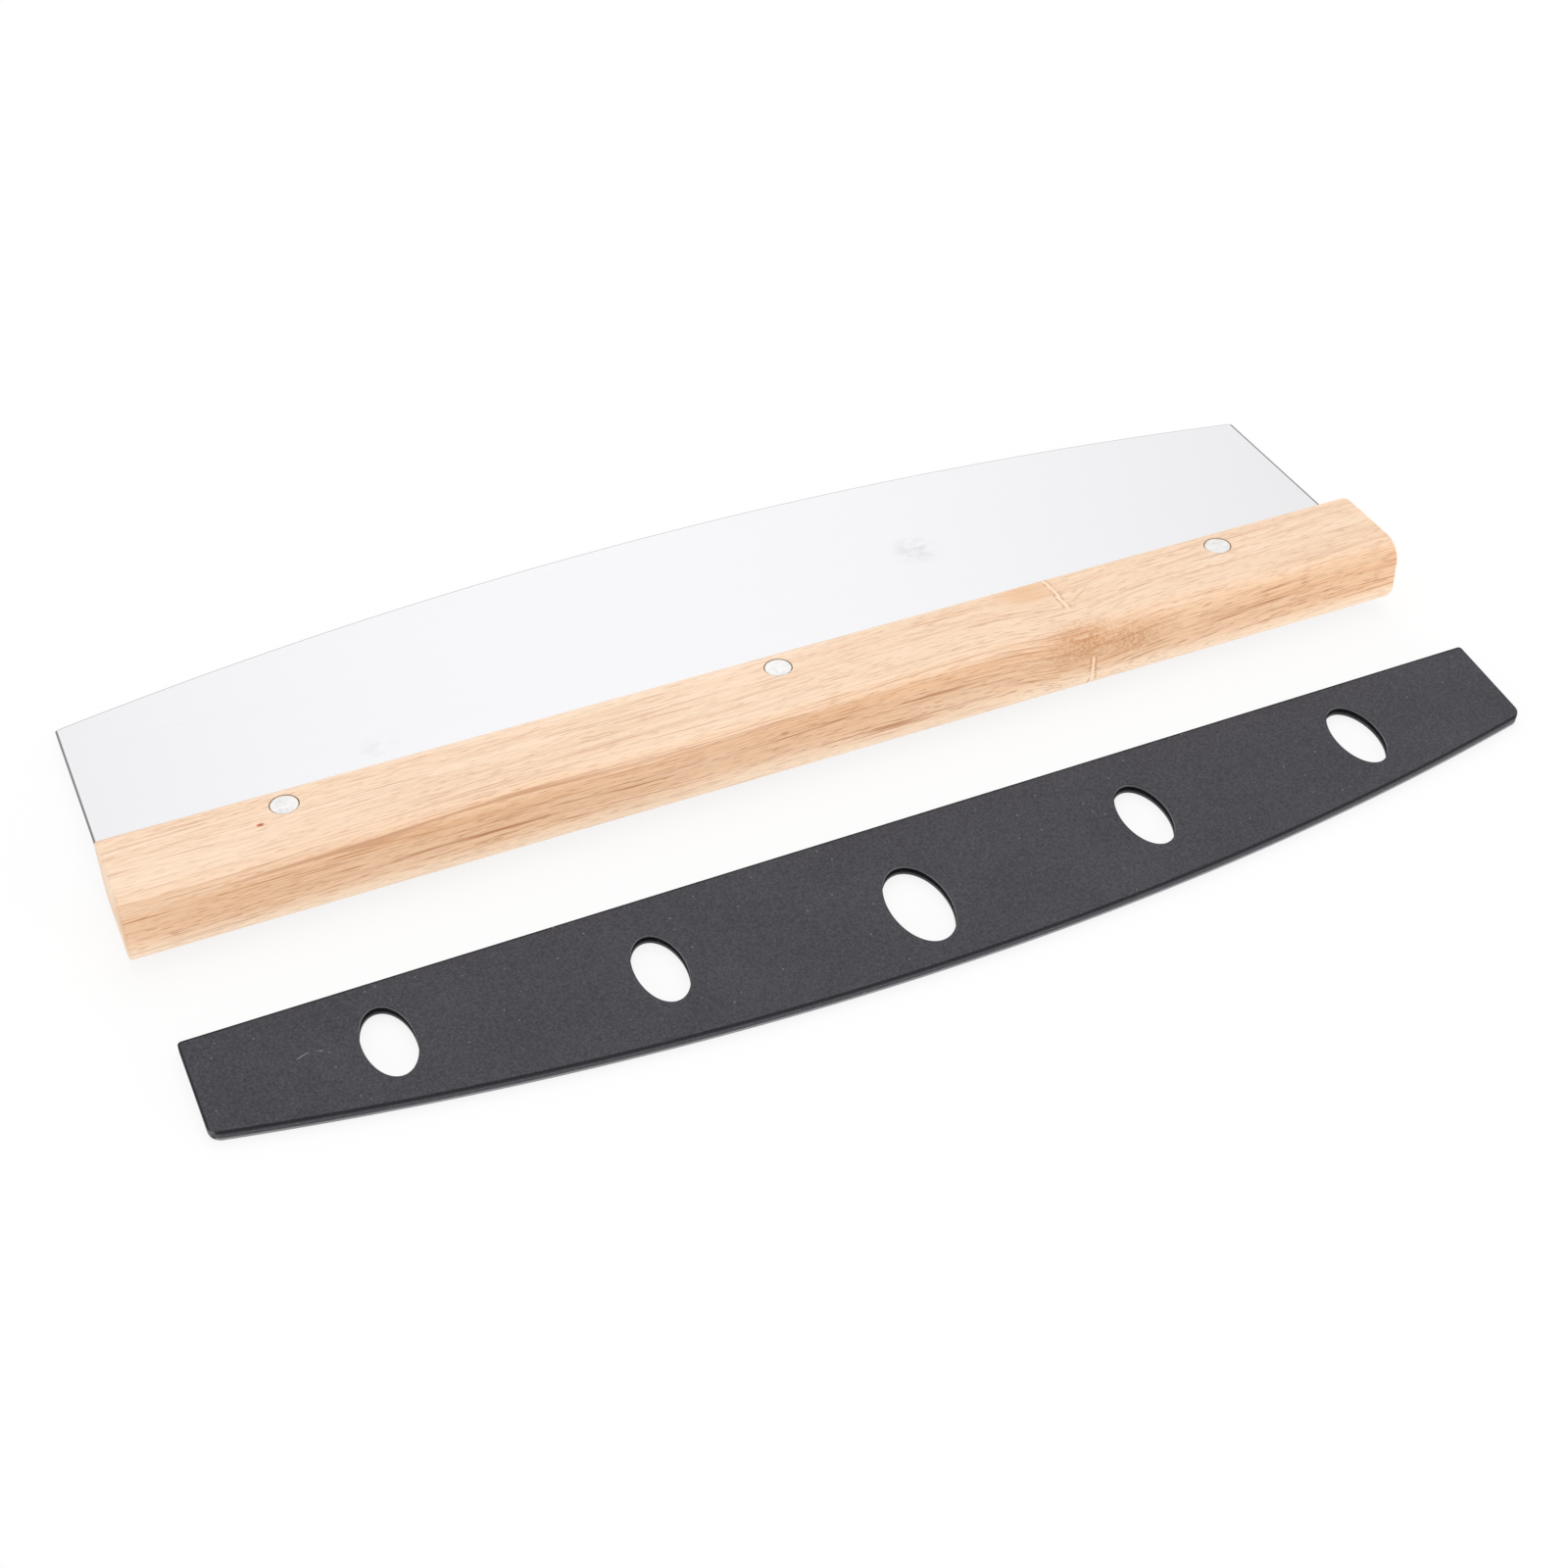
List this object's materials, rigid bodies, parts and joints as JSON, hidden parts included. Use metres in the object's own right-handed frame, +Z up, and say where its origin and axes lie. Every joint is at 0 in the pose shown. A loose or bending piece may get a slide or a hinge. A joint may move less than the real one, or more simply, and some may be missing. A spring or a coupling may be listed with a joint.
{
  "type": "rocker pizza cutter",
  "caption": "Rocker pizza cutter: a wide curved steel blade riveted into a straight wooden grip, lying beside its flat slip-on plastic blade sheath with oval holes.",
  "frame": {"origin": "on the table, in the middle of the ground that the cutter and its sheath cover", "axes": "+X along the grip, +Y from the grip towards the cutting edge, +Z up from the table"},
  "size_m": [0.3578, 0.1754, 0.0217],
  "materials": {
    "handle_wood": "oiled pale hardwood, fine lengthwise grain",
    "blade_steel": "satin stainless",
    "rivet_metal": "flat ground heads",
    "sheath_plastic": "finely textured charcoal moulding"
  },
  "bodies": {
    "cutter": {"handle": "handle_wood", "blade": "blade_steel", "rivet_left": "rivet_metal", "rivet_middle": "rivet_metal", "rivet_right": "rivet_metal"},
    "sheath": {"sheath": "sheath_plastic"}
  },
  "joints": [
    {"name": "sheath_lift", "type": "slide", "parent": "cutter", "child": "sheath", "axis": [0, 0, 1], "range_m": [0, 0.1]}
  ]
}
